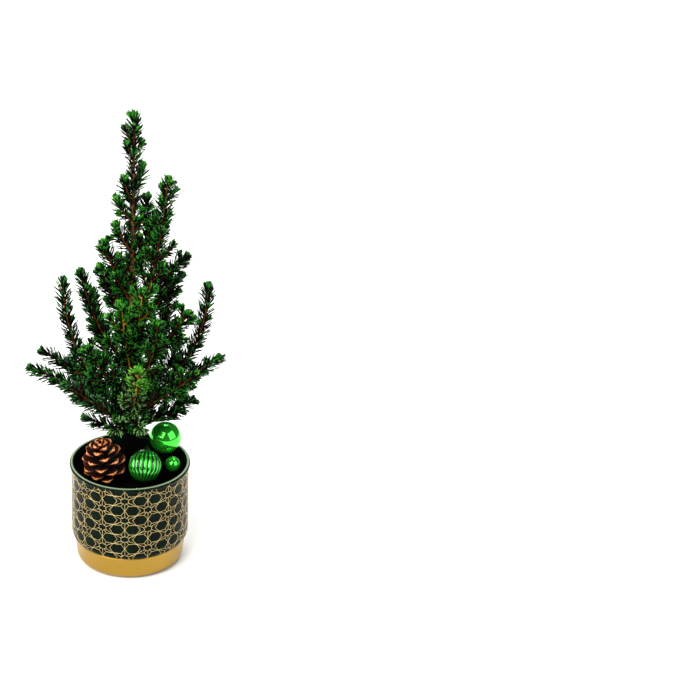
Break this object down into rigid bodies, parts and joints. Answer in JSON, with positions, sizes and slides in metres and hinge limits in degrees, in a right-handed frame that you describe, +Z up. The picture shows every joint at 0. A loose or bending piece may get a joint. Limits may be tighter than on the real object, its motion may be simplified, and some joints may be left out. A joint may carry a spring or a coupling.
{
  "type": "potted alberta spruce",
  "caption": "Young dwarf alberta spruce in a straight dark green glazed pot with a gold lattice and a gold foot, with a pine cone and green baubles on its soil.",
  "frame": {"origin": "centre of the pot's flat underside, on the surface that the pot stands on", "axes": "+Z up along the trunk, -Y towards the viewer of the picture, +X to the viewer's right"},
  "size_m": [0.1834, 0.1517, 0.459],
  "materials": {
    "dark_green_glaze": "glossy dark green glaze with thin raised gold lines",
    "gold_lustre": "satin gold lustre on ceramic",
    "potting_soil": "rough dark compost",
    "bark": "rough reddish brown bark",
    "needles": "stiff green needles, brighter at the tips",
    "cone_scales": "dry brown cone scales with paler tips",
    "green_bauble": "mirror green metallised plastic"
  },
  "bodies": {
    "root": {"pot": "dark_green_glaze", "pot_foot": "gold_lustre", "soil": "potting_soil", "trunk": "bark", "pine_cone": "cone_scales", "bauble_large": "green_bauble", "bauble_ribbed": "green_bauble", "bauble_small": "green_bauble", "bough_left_low": "bark", "bough_left_low_back": "bark", "bough_left_tall": "bark", "bough_left_mid": "bark", "bough_second_leader": "bark", "bough_right_upper": "bark", "bough_right_mid": "bark", "bough_right_cluster": "bark", "bough_right_tall": "bark", "bough_right_out": "bark", "bough_right_wide": "bark", "bough_left_front": "bark", "bough_front_right": "bark", "bough_back_right": "bark", "bough_back": "bark", "bough_back_left": "bark", "foliage_left_low": "needles", "foliage_left_low_back": "needles", "foliage_left_tall": "needles", "foliage_left_mid": "needles", "foliage_left_inner": "needles", "foliage_left_upper": "needles", "foliage_left_high": "needles", "foliage_left_top": "needles", "foliage_right_top": "needles", "foliage_right_high": "needles", "foliage_second_leader": "needles", "foliage_right_upper": "needles", "foliage_right_mid": "needles", "foliage_right_cluster": "needles", "foliage_right_tall": "needles", "foliage_right_out": "needles", "foliage_right_wide": "needles", "foliage_right_low": "needles", "foliage_left_foot": "needles", "foliage_left_front": "needles", "foliage_left_rise": "needles", "foliage_front_tall": "needles", "foliage_front_mid": "needles", "foliage_front_right": "needles", "foliage_front_low": "needles", "foliage_back_right": "needles", "foliage_back": "needles", "foliage_back_left": "needles", "foliage_back_right_low": "needles", "foliage_back_low": "needles", "foliage_back_left_low": "needles", "foliage_front_foot_left": "needles", "foliage_front_foot_right": "needles", "foliage_leader_left": "needles", "foliage_leader_right": "needles", "foliage_leader": "needles"}
  },
  "joints": []
}
